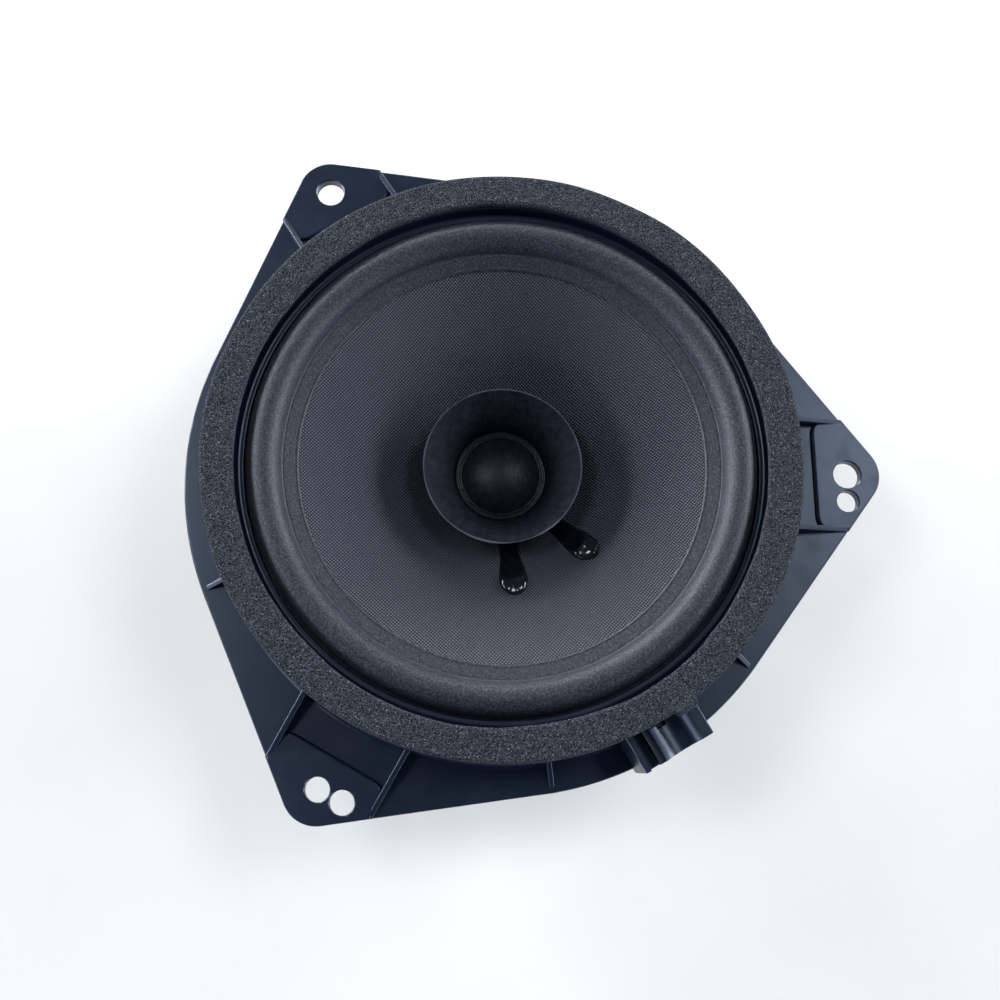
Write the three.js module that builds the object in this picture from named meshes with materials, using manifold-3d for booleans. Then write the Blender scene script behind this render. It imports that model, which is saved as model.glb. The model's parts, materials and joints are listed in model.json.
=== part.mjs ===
// A dual-cone car door speaker on its own three-eared plastic bracket.
// Millimetres. +Z runs along the speaker's axis towards the listener, and the origin is the
// centre of the flat back of the magnet yoke. +X points at the first ear.

import * as THREE from 'three';
import { mergeVertices } from 'three/addons/utils/BufferGeometryUtils.js';
import Module from 'manifold-3d';

const wasm = await Module();
wasm.setup();

// ---------- driving dimensions ----------

const SEGMENTS = 48;            // sides of the large round pieces
const FINE_SEGMENTS = 32;       // sides of the small round pieces
const GAP = 0.1;                // left between two pieces that rest on each other
const CUT_GAP = 0.15;           // clearance around a piece that passes through another

// heights of the magnet system
const YOKE_BASE = 5;
const MAGNET_HEIGHT = 12;
const TOP_PLATE_HEIGHT = 4.4;
const MAGNET_BACK = YOKE_BASE + GAP;
const PLATE_BACK = MAGNET_BACK + MAGNET_HEIGHT + GAP;
const PLATE_FRONT = PLATE_BACK + TOP_PLATE_HEIGHT;

// radii of the magnet system
const YOKE_R = 36;
const MAGNET_R = 38;
const MAGNET_BORE_R = 17;
const PLATE_R = 35;
const POLE_R = 12;

// voice coil
const FORMER_R = 12.3;          // inner radius
const FORMER_WALL = 0.25;
const FORMER_BACK = 14.3;
const FORMER_FRONT = 41.5;
const WINDING_WALL = 0.5;
const WINDING_HEIGHT = 9;
const FORMER_OUTER_R = FORMER_R + FORMER_WALL;
const WINDING_R = FORMER_OUTER_R + 0.05;
const PLATE_BORE_R = WINDING_R + WINDING_WALL + 0.4;

// bracket, all one moulding
const SEAT_BACK = PLATE_FRONT + GAP;
const SEAT_FRONT = SEAT_BACK + 2.5;
const SEAT_BORE_R = 24;
const SPIDER_LEDGE = 32.6;
const SPIDER_LEDGE_R = 37;
const BOWL_FOOT_R = 42.5;
const FLANGE_BACK = 41.2;
const FLANGE_FRONT = 43.4;
const EAR_PAD_FRONT = 44.6;
const FLANGE_R = 90;
const COLLAR_FOOT_R = 82;
const COLLAR_TOP_R = 80.6;
const COLLAR_INNER_R = 78.3;
const COLLAR_TOP = 65.3;
const RECESS_R = 72.6;
const RECESS_STEP = 62.1;       // a raised rim round the surround's flange
const RECESS_STEP_R = 70.1;
const SURROUND_LEDGE = 61.2;
const SURROUND_LEDGE_R = 68.4;
const LEDGE_THICKNESS = 2.2;
const LEG_ANGLES = [30, 90, 150, 210, 270, 330];
const LEG_WIDTH = 12;

// ears, each with its round corner centred on the mounting hole
const EAR_ANGLES = [0, 120, 240];
const HOLE_CIRCLE_R = 100.8;
const EAR_CORNER_R = 9.6;
const EAR_RIB_OFFSET = 16;
const EAR_RIB_END = HOLE_CIRCLE_R + 1.5;
const RIB_HEIGHT = 6;
const PAD_START = 91;
const PAD_CORNER_R = 3;
const RIB_WALL = 1.5;
const GUSSET_TURN = 38.5;       // degrees from each ear to the short gusset beside it
const GUSSET_LENGTH = 6.5;

// mounting holes: angle around the axis and radius of each
const MOUNTING_HOLES = [
  { angle: 0, radius: 4 },
  { angle: -4.5, radius: 3.15 },
  { angle: 120, radius: 4 },
  { angle: 240, radius: 3.4 },
  { angle: 244.3, radius: 3.4 },
];

// connector housing, in its own frame: x runs outwards, y around the rim
const CONNECTOR_ANGLE = 300;
const HOUSING_FACE = 91;        // distance of its outer face from the axis
const HOUSING_BACK = 79.5;
const HOUSING_TOP = 60;
const HOUSING_HALF = 10.5;
const SOCKET = { back: 83, half: 8, low: 45.6, high: 54 };
const TROUGH = { radius: 6.5, middle: 1.6, high: HOUSING_TOP + 3 };
const GROOVE = [-8.9, -5.8];    // limits around the rim of the cuts in the housing's top
const STEP = [-5.9, -4];
const STEP_DEPTH = 1.4;
const LATCH = [-1.6, 1.4];
const BLADE = { length: 18.5, width: 2.8, thickness: 0.8, tail: 71, offset: 3.2, low: 47.2 };

// foam gasket
const FOAM_OUTER_R = 81.1;
const FOAM_INNER_R = 72.2;
const FOAM_BACK = COLLAR_TOP + GAP;
const FOAM_FRONT = 68;
const FOAM_JOINT_ANGLE = 307;
const FOAM_JOINT_WIDTH = 0.5;

// cone and surround
const CONE_OUTER_R = 60.4;
const CONE_OUTER_Z = 61.6;
const CONE_NECK_R = FORMER_OUTER_R + GAP;
const CONE_EDGE_SLOPE = 0.36;
const CONE_CURVE = 0.00247;
const CONE_WALL = 0.6;
const CONE_STEPS = 6;
const BAND_INNER_R = 55.9;
const ROLL_INNER_R = 60.4;
const ROLL_OUTER_R = 69.3;
const ROLL_RISE = 5.1;          // the roll is taller than half its width
const ROLL_STEPS = 8;
const SURROUND_FLANGE_R = 69.9;
const SURROUND_WALL = 0.6;

// whizzer cone, dust cap and the glue ring between them
const WHIZZER_FOOT_R = 13.1;
const WHIZZER_BACK = 39.9;
const WHIZZER_RIM_R = 22.2;
const WHIZZER_RIM_Z = 55.1;
const WHIZZER_WALL = 0.45;
const GLUE_RING_R = 12.1;
const GLUE_RING_TUBE = 0.85;
const GLUE_RING_Z = 42.5;
const DUST_CAP_R = 11.1;
const DUST_CAP_RISE = 4.6;
const DUST_CAP_WALL = 0.4;

// spider
const SPIDER_NECK_R = FORMER_OUTER_R + GAP;
const SPIDER_OUTER_R = 41.5;
const SPIDER_WAVES = 4;
const SPIDER_WAVE_HEIGHT = 1.6;
const SPIDER_WALL = 0.6;

// rivets through the bracket and the top plate
const RIVET_CIRCLE_R = 29;
const RIVET_R = 1.5;
const RIVET_HEAD_R = 2.6;
const RIVET_HEAD_HEIGHT = 1.2;
const RIVET_ANGLES = [0, 90, 180, 270];
const RIVET_SEGMENTS = 16;

// leads: where each comes through the cone
const LEAD_EXITS = [{ angle: 275.5, side: -1 }, { angle: 316, side: 1 }];
const LEAD_EXIT_R = 32;
const LEAD_R = 0.6;
const GLUE_DROP_R = 3.9;
const GLUE_STRIP_START_R = 15;
const GLUE_STRIP_HALF = 2.8;
const GLUE_THICKNESS = 1;
const SOLDER_R = 1.3;
const SOLDER_SEGMENTS = 16;

// ---------- small tools ----------

const radians = THREE.MathUtils.degToRad;

function polar(radius, degrees, z = 0) {
  return new THREE.Vector3(radius * Math.cos(radians(degrees)), radius * Math.sin(radians(degrees)), z);
}

function material(color, roughness, metalness = 0) {
  return new THREE.MeshStandardMaterial({ color, roughness, metalness });
}

// Only the positions, with shared corners merged and collapsed triangles dropped.
function weld(geometry) {
  const bare = geometry.clone();
  bare.deleteAttribute('normal');
  bare.deleteAttribute('uv');
  const merged = mergeVertices(bare, 1e-4);
  const kept = [];
  const index = merged.index.array;
  for (let i = 0; i < index.length; i += 3) {
    const [a, b, c] = [index[i], index[i + 1], index[i + 2]];
    if (a !== b && b !== c && c !== a) {
      kept.push(a, b, c);
    }
  }
  merged.setIndex(kept);
  return merged;
}

function toSolid(geometry) {
  const welded = weld(geometry);
  return new wasm.Manifold(new wasm.Mesh({
    numProp: 3,
    vertProperties: new Float32Array(welded.attributes.position.array),
    triVerts: new Uint32Array(welded.index.array),
  }));
}

function toGeometry(solid) {
  const mesh = solid.getMesh();
  const geometry = new THREE.BufferGeometry();
  geometry.setAttribute('position', new THREE.BufferAttribute(mesh.vertProperties, 3));
  geometry.setIndex(new THREE.BufferAttribute(mesh.triVerts, 1));
  geometry.computeVertexNormals();
  return geometry;
}

function joined(solids) {
  return solids.reduce((whole, next) => whole.add(next));
}

// A closed (radius, height) outline, anticlockwise, turned about the Z axis.
function turned(outline, segments = SEGMENTS) {
  const points = outline.map(([r, z]) => new THREE.Vector2(r, z));
  return weld(new THREE.LatheGeometry(points, segments).rotateX(Math.PI / 2));
}

function ring(innerR, outerR, low, high, segments = SEGMENTS) {
  return turned([
    [innerR, low], [outerR, low], [outerR, high], [innerR, high], [innerR, low],
  ], segments);
}

function disc(radius, low, high, segments = FINE_SEGMENTS) {
  return new THREE.CylinderGeometry(radius, radius, high - low, segments)
    .rotateX(Math.PI / 2)
    .translate(0, 0, (low + high) / 2);
}

// A rod through the part at a distance and an angle from its axis, to cut a hole with.
function drill(radius, fromAxis, degrees, low, high, segments = FINE_SEGMENTS) {
  const centre = polar(fromAxis, degrees);
  return toSolid(disc(radius, low, high, segments).translate(centre.x, centre.y, 0));
}

function extruded(shape, low, high, curveSegments = 8) {
  return new THREE.ExtrudeGeometry(shape, { depth: high - low, bevelEnabled: false, curveSegments })
    .translate(0, 0, low);
}

// A block given by its limits, turned about the Z axis by an angle in degrees.
function block(x, y, z, degrees = 0) {
  return new THREE.BoxGeometry(x[1] - x[0], y[1] - y[0], z[1] - z[0])
    .translate((x[0] + x[1]) / 2, (y[0] + y[1]) / 2, (z[0] + z[1]) / 2)
    .rotateZ(radians(degrees));
}

// A wall of even thickness on one side of a curve of (radius, height) points.
function wallOutline(curve, thickness) {
  const offset = curve.map((point, i) => {
    const before = curve[Math.max(i - 1, 0)];
    const after = curve[Math.min(i + 1, curve.length - 1)];
    const along = new THREE.Vector2(after[0] - before[0], after[1] - before[1]).normalize();
    return [point[0] - along.y * thickness, point[1] + along.x * thickness];
  });
  return [...curve, ...offset.reverse(), curve[0]];
}

// ---------- bracket ----------

function flangeShape() {
  const ear = Math.acos((FLANGE_R - EAR_CORNER_R) / HOLE_CIRCLE_R);
  const shape = new THREE.Shape();
  for (const degrees of EAR_ANGLES) {
    const middle = radians(degrees);
    const centre = polar(HOLE_CIRCLE_R, degrees);
    shape.absarc(centre.x, centre.y, EAR_CORNER_R, middle - ear, middle + ear);
    shape.absarc(0, 0, FLANGE_R, middle + ear, middle + radians(120) - ear);
  }
  const opening = new THREE.Path();
  opening.absarc(0, 0, COLLAR_INNER_R, 0, 2 * Math.PI, true);
  shape.holes.push(opening);
  return shape;
}

function bowl() {
  return turned([
    [SEAT_BORE_R, SEAT_BACK],
    [BOWL_FOOT_R - 1, SEAT_BACK],
    [BOWL_FOOT_R + 2, SPIDER_LEDGE - 4],
    [COLLAR_INNER_R, FLANGE_BACK],
    [COLLAR_FOOT_R, FLANGE_BACK],
    [COLLAR_FOOT_R, FLANGE_FRONT],
    [COLLAR_TOP_R, COLLAR_TOP],
    [RECESS_R, COLLAR_TOP],
    [RECESS_R, RECESS_STEP],
    [RECESS_STEP_R, RECESS_STEP],
    [RECESS_STEP_R, SURROUND_LEDGE],
    [SURROUND_LEDGE_R, SURROUND_LEDGE],
    [SURROUND_LEDGE_R, SURROUND_LEDGE - LEDGE_THICKNESS],
    [COLLAR_INNER_R, SURROUND_LEDGE - LEDGE_THICKNESS],
    [COLLAR_INNER_R, FLANGE_FRONT + 2],
    [COLLAR_INNER_R - 2, FLANGE_FRONT],
    [BOWL_FOOT_R + 1, SPIDER_LEDGE - 1],
    [BOWL_FOOT_R - 0.5, SPIDER_LEDGE],
    [SPIDER_LEDGE_R, SPIDER_LEDGE],
    [SPIDER_LEDGE_R, SEAT_FRONT],
    [SEAT_BORE_R, SEAT_FRONT],
    [SEAT_BORE_R, SEAT_BACK],
  ]);
}

// The opening between two legs: legs have parallel sides, and the ends are arcs.
function windowShape(from, to) {
  const innerR = BOWL_FOOT_R + 3;
  const outerR = COLLAR_INNER_R - 3.5;
  const turn = (radius) => Math.asin(LEG_WIDTH / 2 / radius);
  const shape = new THREE.Shape();
  shape.absarc(0, 0, outerR, radians(from) + turn(outerR), radians(to) - turn(outerR));
  shape.absarc(0, 0, innerR, radians(to) - turn(innerR), radians(from) + turn(innerR), true);
  return shape;
}

// A thin upright rib from its side outline of (distance from the axis, height) points.
function rib(outline, offset, degrees) {
  const side = new THREE.Shape(outline.map(([x, z]) => new THREE.Vector2(x, z)));
  return toSolid(new THREE.ExtrudeGeometry(side, { depth: RIB_WALL, bevelEnabled: false })
    .rotateX(Math.PI / 2)
    .translate(0, offset + RIB_WALL / 2, 0)
    .rotateZ(radians(degrees)));
}

// A triangular rib on the flange, highest where it meets the collar.
function flangeRib(end, offset, degrees) {
  const start = COLLAR_FOOT_R - 4;
  return rib([
    [start, FLANGE_FRONT - 0.5],
    [end, FLANGE_FRONT - 0.5],
    [end, FLANGE_FRONT + 0.2],
    [start, FLANGE_FRONT + RIB_HEIGHT],
  ], offset, degrees);
}

function legRib(degrees) {
  return rib([
    [BOWL_FOOT_R - 1, SEAT_BACK],
    [BOWL_FOOT_R + 6, SEAT_BACK + 1.5],
    [COLLAR_INNER_R, FLANGE_BACK - 3],
    [COLLAR_INNER_R + 2, FLANGE_BACK + 0.5],
    [BOWL_FOOT_R + 2, SPIDER_LEDGE - 2.5],
  ], 0, degrees);
}

function earPad(degrees, column) {
  const half = EAR_RIB_OFFSET;
  const corner = PAD_CORNER_R;
  const shape = new THREE.Shape();
  shape.moveTo(PAD_START + corner, -half);
  shape.lineTo(HOLE_CIRCLE_R + EAR_CORNER_R, -half);
  shape.lineTo(HOLE_CIRCLE_R + EAR_CORNER_R, half);
  shape.lineTo(PAD_START + corner, half);
  shape.absarc(PAD_START + corner, half - corner, corner, Math.PI / 2, Math.PI);
  shape.absarc(PAD_START + corner, corner - half, corner, Math.PI, 1.5 * Math.PI);
  const slab = extruded(shape, FLANGE_FRONT - 0.5, EAR_PAD_FRONT).rotateZ(radians(degrees));
  return toSolid(slab).intersect(column);
}

function connectorHousing() {
  const turn = CONNECTOR_ANGLE;
  const body = block([HOUSING_BACK, HOUSING_FACE], [-HOUSING_HALF, HOUSING_HALF],
    [FLANGE_BACK, HOUSING_TOP], turn);
  const start = HOUSING_BACK + 1.5;
  const along = [start, HOUSING_FACE + 1];
  const roof = SOCKET.high + 1.2;
  const above = HOUSING_TOP + 1;
  const trough = new THREE.CylinderGeometry(TROUGH.radius, TROUGH.radius, 12, FINE_SEGMENTS)
    .rotateZ(Math.PI / 2)
    .translate(HOUSING_FACE - 3, TROUGH.middle, TROUGH.high)
    .rotateZ(radians(turn));
  const cuts = [
    block(along, GROOVE, [roof, above], turn),
    block(along, STEP, [HOUSING_TOP - STEP_DEPTH, above], turn),
    trough,
    block([start, start + 2], LATCH, [roof, HOUSING_TOP], turn),
    block([SOCKET.back, HOUSING_FACE + 1], [-SOCKET.half, SOCKET.half],
      [SOCKET.low, SOCKET.high], turn),
  ];
  return { body: toSolid(body), cuts: cuts.map(toSolid) };
}

function bladeSlot(side) {
  const middle = side * BLADE.offset;
  const half = BLADE.width / 2 + CUT_GAP;
  return toSolid(block([COLLAR_INNER_R - 3, SOCKET.back + 1], [middle - half, middle + half],
    [BLADE.low - CUT_GAP, BLADE.low + BLADE.thickness + CUT_GAP], CONNECTOR_ANGLE));
}

// Holes for the four rivets through a plate between two heights.
function rivetHoles(low, high) {
  return RIVET_ANGLES.map((degrees) => (
    drill(RIVET_R + CUT_GAP, RIVET_CIRCLE_R, degrees, low - 1, high + 1, RIVET_SEGMENTS)));
}

function basketFrame() {
  const column = toSolid(extruded(flangeShape(), FLANGE_BACK, COLLAR_TOP));
  const housing = connectorHousing();
  const pieces = [toSolid(bowl()), toSolid(extruded(flangeShape(), FLANGE_BACK, FLANGE_FRONT))];
  for (const degrees of EAR_ANGLES) {
    pieces.push(earPad(degrees, column));
    for (const side of [-1, 1]) {
      pieces.push(flangeRib(EAR_RIB_END, side * EAR_RIB_OFFSET, degrees).intersect(column));
      pieces.push(flangeRib(COLLAR_FOOT_R + GUSSET_LENGTH, 0, degrees + side * GUSSET_TURN));
    }
  }
  pieces.push(housing.body);
  const windows = LEG_ANGLES.map((from) => toSolid(
    extruded(windowShape(from, from + 60), SEAT_BACK - 1, FLANGE_FRONT + 3, 6)));
  const holes = MOUNTING_HOLES.map(({ angle, radius }) => (
    drill(radius, HOLE_CIRCLE_R, angle, FLANGE_BACK - 1, EAR_PAD_FRONT + 1)));
  const cuts = [
    ...housing.cuts, ...holes, ...rivetHoles(SEAT_BACK, SEAT_FRONT), bladeSlot(-1), bladeSlot(1),
  ];
  const open = joined(pieces).subtract(joined(windows));
  return toGeometry(joined([open, ...LEG_ANGLES.map(legRib)]).subtract(joined(cuts)));
}

// ---------- gasket, surround and cone ----------

function foamGasket() {
  const whole = toSolid(ring(FOAM_INNER_R, FOAM_OUTER_R, FOAM_BACK, FOAM_FRONT));
  const half = FOAM_JOINT_WIDTH / 2;
  const joint = toSolid(block([FOAM_INNER_R - 1, FOAM_OUTER_R + 1], [-half, half],
    [FOAM_BACK - 1, FOAM_FRONT + 1], FOAM_JOINT_ANGLE));
  return toGeometry(whole.subtract(joint));
}

// Height of the cone's front face at a radius.
function coneFront(r) {
  const inwards = CONE_OUTER_R - r;
  return CONE_OUTER_Z - CONE_EDGE_SLOPE * inwards - CONE_CURVE * inwards * inwards;
}

function coneCurve(from, to, steps, lift) {
  const points = [];
  for (let i = 0; i <= steps; i += 1) {
    const r = from + ((to - from) * i) / steps;
    points.push([r, coneFront(r) + lift]);
  }
  return points;
}

function cone() {
  const front = coneCurve(CONE_NECK_R, CONE_OUTER_R, CONE_STEPS, 0);
  const back = coneCurve(CONE_NECK_R, CONE_OUTER_R, CONE_STEPS, -CONE_WALL);
  return turned([...back, ...front.reverse(), back[0]]);
}

function surround() {
  const middle = (ROLL_INNER_R + ROLL_OUTER_R) / 2;
  const radius = (ROLL_OUTER_R - ROLL_INNER_R) / 2;
  const flangeZ = SURROUND_LEDGE + GAP;
  const curve = coneCurve(BAND_INNER_R, ROLL_INNER_R, 1, GAP);
  for (let i = 1; i < ROLL_STEPS; i += 1) {
    const turn = Math.PI * (1 - i / ROLL_STEPS);
    const footZ = THREE.MathUtils.lerp(CONE_OUTER_Z + GAP, flangeZ, i / ROLL_STEPS);
    curve.push([middle + radius * Math.cos(turn), footZ + ROLL_RISE * Math.sin(turn)]);
  }
  curve.push([ROLL_OUTER_R, flangeZ], [SURROUND_FLANGE_R, flangeZ]);
  return turned(wallOutline(curve, SURROUND_WALL));
}

// ---------- whizzer cone, glue ring and dust cap ----------

function whizzerCone() {
  const foot = new THREE.Vector2(WHIZZER_FOOT_R, GLUE_RING_Z);
  const pull = new THREE.Vector2(WHIZZER_FOOT_R + 2.2, WHIZZER_RIM_Z - 5);
  const rim = new THREE.Vector2(WHIZZER_RIM_R, WHIZZER_RIM_Z);
  const flare = new THREE.QuadraticBezierCurve(foot, pull, rim).getPoints(6).map((p) => [p.x, p.y]);
  const inner = [[WHIZZER_FOOT_R, WHIZZER_BACK], ...flare];
  return turned(wallOutline(inner.reverse(), WHIZZER_WALL), FINE_SEGMENTS);
}

function neckGlueRing() {
  return new THREE.TorusGeometry(GLUE_RING_R, GLUE_RING_TUBE, 6, FINE_SEGMENTS)
    .translate(0, 0, GLUE_RING_Z);
}

function dustCap() {
  const sphereR = (DUST_CAP_R ** 2 + DUST_CAP_RISE ** 2) / (2 * DUST_CAP_RISE);
  const centreZ = GLUE_RING_Z + DUST_CAP_RISE - sphereR;
  const arc = (radius, edgeR, steps) => {
    const edge = Math.asin(edgeR / radius);
    return Array.from({ length: steps + 1 }, (_, i) => {
      const turn = (edge * i) / steps;
      return [radius * Math.sin(turn), centreZ + radius * Math.cos(turn)];
    });
  };
  const outside = arc(sphereR, DUST_CAP_R, 5);
  const inside = arc(sphereR - DUST_CAP_WALL, DUST_CAP_R - DUST_CAP_WALL, 5);
  return turned([...inside, ...outside.reverse()], FINE_SEGMENTS);
}

// ---------- voice coil, spider and magnet system ----------

function spider() {
  const start = SPIDER_NECK_R + 2;
  const end = SPIDER_LEDGE_R - 0.5;
  const middle = SPIDER_LEDGE + GAP;
  const curve = [[SPIDER_NECK_R, middle + 1.6], [SPIDER_NECK_R + 0.8, middle + 0.2]];
  const steps = SPIDER_WAVES * 2;
  for (let i = 0; i <= steps; i += 1) {
    const lift = i === 0 || i === steps ? 0 : (i % 2 === 0 ? 1 : -1) * SPIDER_WAVE_HEIGHT / 2;
    curve.push([start + ((end - start) * i) / steps, middle + lift]);
  }
  curve.push([SPIDER_OUTER_R, middle]);
  return turned(wallOutline(curve, SPIDER_WALL), FINE_SEGMENTS);
}

function former() {
  return ring(FORMER_R, FORMER_OUTER_R, FORMER_BACK, FORMER_FRONT, FINE_SEGMENTS);
}

function winding() {
  const low = FORMER_BACK + 0.5;
  return ring(WINDING_R, WINDING_R + WINDING_WALL, low, low + WINDING_HEIGHT, FINE_SEGMENTS);
}

function ringMagnet() {
  return ring(MAGNET_BORE_R, MAGNET_R, MAGNET_BACK, MAGNET_BACK + MAGNET_HEIGHT);
}

function yoke() {
  const chamfer = 1.2;
  return turned([
    [0, 0],
    [YOKE_R - chamfer, 0],
    [YOKE_R, chamfer],
    [YOKE_R, YOKE_BASE],
    [POLE_R, YOKE_BASE],
    [POLE_R, PLATE_FRONT - 0.5],
    [POLE_R - 0.5, PLATE_FRONT],
    [0, PLATE_FRONT],
  ]);
}

function topPlate() {
  const plate = toSolid(ring(PLATE_BORE_R, PLATE_R, PLATE_BACK, PLATE_FRONT));
  return toGeometry(plate.subtract(joined(rivetHoles(PLATE_BACK, PLATE_FRONT))));
}

function rivet() {
  const headBack = SEAT_FRONT + GAP;
  const headFront = headBack + RIVET_HEAD_HEIGHT;
  return turned([
    [0, PLATE_BACK + GAP],
    [RIVET_R, PLATE_BACK + GAP],
    [RIVET_R, headBack],
    [RIVET_HEAD_R, headBack],
    [RIVET_HEAD_R * 0.92, headBack + RIVET_HEAD_HEIGHT * 0.6],
    [RIVET_HEAD_R * 0.6, headFront],
    [0, headFront],
  ], RIVET_SEGMENTS);
}

// ---------- terminals and leads ----------

// A point in the connector's frame: distance outwards, distance around the rim, height.
function atConnector(out, around, z) {
  const up = new THREE.Vector3(0, 0, 1);
  return new THREE.Vector3(out, around, z).applyAxisAngle(up, radians(CONNECTOR_ANGLE));
}

function terminalBlade(side) {
  const middle = side * BLADE.offset;
  const half = BLADE.width / 2;
  return block([BLADE.tail, BLADE.tail + BLADE.length], [middle - half, middle + half],
    [BLADE.low, BLADE.low + BLADE.thickness], CONNECTOR_ANGLE);
}

function solderJoint(side) {
  const onBlade = BLADE.low + BLADE.thickness + GAP;
  const place = atConnector(BLADE.tail + 2, side * BLADE.offset, onBlade);
  return turned([
    [0, 0],
    [SOLDER_R, 0],
    [SOLDER_R * 0.85, SOLDER_R * 0.5],
    [SOLDER_R * 0.4, SOLDER_R * 0.85],
    [0, SOLDER_R * 0.9],
  ], SOLDER_SEGMENTS).translate(place.x, place.y, place.z);
}

function tinselLead({ angle, side }) {
  const coneBack = coneFront(LEAD_EXIT_R) - CONE_WALL;
  const exit = polar(LEAD_EXIT_R, angle, coneBack - LEAD_R - GAP);
  const below = polar(LEAD_EXIT_R + 5, angle, coneBack - 3.5);
  const end = atConnector(BLADE.tail - LEAD_R - GAP, side * BLADE.offset, BLADE.low + LEAD_R);
  const approach = atConnector(BLADE.tail - 8, side * BLADE.offset, BLADE.low - 1.5);
  const sag = below.clone().lerp(approach, 0.5).setZ(coneBack - 4.5);
  const path = new THREE.CatmullRomCurve3([exit, below, sag, approach, end]);
  const section = new THREE.Shape().absarc(0, 0, LEAD_R, 0, 2 * Math.PI);
  return new THREE.ExtrudeGeometry(section, { steps: 18, curveSegments: 3, extrudePath: path });
}

// Glue over a coil lead-out: a strip along the cone that ends in a round drop.
function leadGlue({ angle }) {
  const back = coneCurve(CONE_NECK_R, CONE_OUTER_R, CONE_STEPS, GAP);
  const front = coneCurve(CONE_NECK_R, CONE_OUTER_R, CONE_STEPS, GAP + GLUE_THICKNESS);
  const layer = toSolid(turned([...back, ...front.reverse(), back[0]]));
  const meet = Math.asin(GLUE_STRIP_HALF / GLUE_DROP_R);
  const shape = new THREE.Shape();
  shape.moveTo(GLUE_STRIP_START_R, -GLUE_STRIP_HALF);
  shape.absarc(LEAD_EXIT_R, 0, GLUE_DROP_R, meet - Math.PI, Math.PI - meet);
  shape.lineTo(GLUE_STRIP_START_R, GLUE_STRIP_HALF);
  const patch = toSolid(extruded(shape, CONE_OUTER_Z - 40, CONE_OUTER_Z, 8).rotateZ(radians(angle)));
  return toGeometry(layer.intersect(patch));
}

// ---------- assembly ----------

const plastic = material(0x14161c, 0.25);
const foam = material(0x26272a, 0.95);
const rubber = material(0x2a2b2e, 0.8);
const fabric = material(0x303136, 0.85);
const paper = material(0x1f2024, 0.75);
const glue = material(0x0b0b0d, 0.15);
const ferrite = material(0x2c2c2e, 0.6);
const steel = material(0xb9bcc2, 0.35, 1);
const copper = material(0xb46a3c, 0.35, 1);
const tinned = material(0xc9cbd0, 0.3, 1);
const kapton = material(0x8a5a2a, 0.4);

const speaker = new THREE.Group();

function addPiece(name, geometry, look) {
  const mesh = new THREE.Mesh(geometry, look);
  mesh.name = name;
  speaker.add(mesh);
  return mesh;
}

addPiece('basket_frame', basketFrame(), plastic);
addPiece('foam_gasket', foamGasket(), foam);
addPiece('surround', surround(), rubber);
addPiece('cone', cone(), fabric);
addPiece('whizzer_cone', whizzerCone(), paper);
addPiece('neck_glue_ring', neckGlueRing(), glue);
addPiece('dust_cap', dustCap(), paper);
addPiece('voice_coil_former', former(), kapton);
addPiece('voice_coil_winding', winding(), copper);
addPiece('spider', spider(), fabric);
addPiece('top_plate', topPlate(), steel);
addPiece('ring_magnet', ringMagnet(), ferrite);
addPiece('magnet_yoke', yoke(), steel);

RIVET_ANGLES.forEach((degrees, i) => {
  addPiece(`plate_rivet_${i + 1}`, rivet(), tinned).position.copy(polar(RIVET_CIRCLE_R, degrees));
});

LEAD_EXITS.forEach((lead, i) => {
  addPiece(`lead_glue_${i + 1}`, leadGlue(lead), glue);
  addPiece(`tinsel_lead_${i + 1}`, tinselLead(lead), copper);
  addPiece(`terminal_blade_${i + 1}`, terminalBlade(lead.side), tinned);
  addPiece(`solder_joint_${i + 1}`, solderJoint(lead.side), tinned);
});

export default speaker;
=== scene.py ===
"""Looks for the dual-cone car door speaker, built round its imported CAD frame.

Shapes are modelled in millimetres in the CAD's frame, +Z towards the listener, and scaled to metres
when a piece is finished.
"""
import json
import math

import bmesh
import bpy
import numpy as np
from mathutils import Matrix, Vector
from mathutils.noise import noise, voronoi


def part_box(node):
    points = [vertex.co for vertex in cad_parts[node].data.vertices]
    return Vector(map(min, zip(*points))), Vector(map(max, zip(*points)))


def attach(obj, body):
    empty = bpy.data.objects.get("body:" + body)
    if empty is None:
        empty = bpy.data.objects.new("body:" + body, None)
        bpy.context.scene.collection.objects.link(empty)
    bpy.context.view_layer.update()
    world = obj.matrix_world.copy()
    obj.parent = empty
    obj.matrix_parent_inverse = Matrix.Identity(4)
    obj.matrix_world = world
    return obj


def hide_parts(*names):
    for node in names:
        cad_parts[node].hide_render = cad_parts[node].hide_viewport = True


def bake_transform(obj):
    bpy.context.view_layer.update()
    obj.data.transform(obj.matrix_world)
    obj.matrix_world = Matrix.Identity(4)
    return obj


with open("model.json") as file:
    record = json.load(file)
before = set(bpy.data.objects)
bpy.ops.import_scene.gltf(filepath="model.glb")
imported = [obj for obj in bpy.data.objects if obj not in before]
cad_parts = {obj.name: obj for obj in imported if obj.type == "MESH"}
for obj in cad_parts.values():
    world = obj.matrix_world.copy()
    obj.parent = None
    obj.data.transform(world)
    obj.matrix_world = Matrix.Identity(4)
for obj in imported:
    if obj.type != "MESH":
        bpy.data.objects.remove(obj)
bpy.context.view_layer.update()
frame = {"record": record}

MM = 0.001


def low(node):
    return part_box(node)[0] / MM


def high(node):
    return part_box(node)[1] / MM


# ---------- driving sizes, millimetres ----------

GAP = 0.1  # left between two pieces that rest on each other

# gasket
FOAM_R = high("foam_gasket").x
FOAM_BACK = low("foam_gasket").z
FOAM_FRONT = high("foam_gasket").z
FOAM_INNER_R = 72.1
FOAM_JOINT_ANGLE = 307
FOAM_JOINT_TURN = 0.09
FOAM_TAB = (302.6, 306.4)  # between these angles a tab sticks out
FOAM_TAB_WIDTH = 1.7
FOAM_PIT = 0.8
FOAM_PIT_DEPTH = 0.3

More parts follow.
